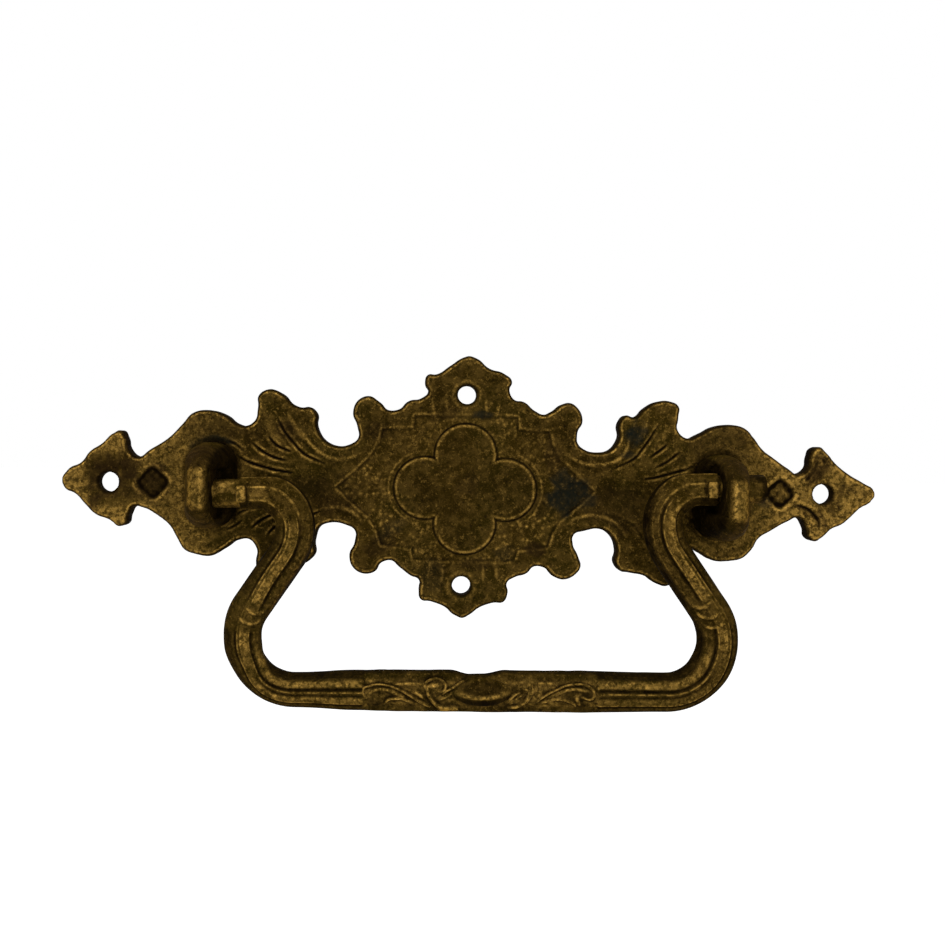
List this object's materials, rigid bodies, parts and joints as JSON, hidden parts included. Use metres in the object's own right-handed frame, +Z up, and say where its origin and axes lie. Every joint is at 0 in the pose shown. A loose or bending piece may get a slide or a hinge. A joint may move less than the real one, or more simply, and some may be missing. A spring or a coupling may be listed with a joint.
{
  "type": "bail pull",
  "caption": "Aged cast brass drawer pull: ornate scalloped backplate, upright posts and a hanging reeded bail that swings up on its pins.",
  "frame": {"origin": "centre of the backplate's flat back, on the drawer's face", "axes": "+X along the backplate, -Y out of the drawer towards the hand, +Z up, so the bail hangs towards -Z"},
  "size_m": [0.1298, 0.0149, 0.055],
  "materials": {
    "plate_brass": "aged, dark patina",
    "post_brass": "aged, dark patina",
    "bail_brass": "aged, worn on its ridges"
  },
  "bodies": {
    "pull": {"backplate": "plate_brass", "left_post": "post_brass", "right_post": "post_brass"},
    "bail": {"bail": "bail_brass"}
  },
  "joints": [
    {"name": "bail_swing", "type": "hinge", "parent": "pull", "child": "bail", "pos_m": [0, -0.0085, 0], "axis": [-0.9997, 0, -0.0253], "range_deg": [-10, 188]}
  ]
}
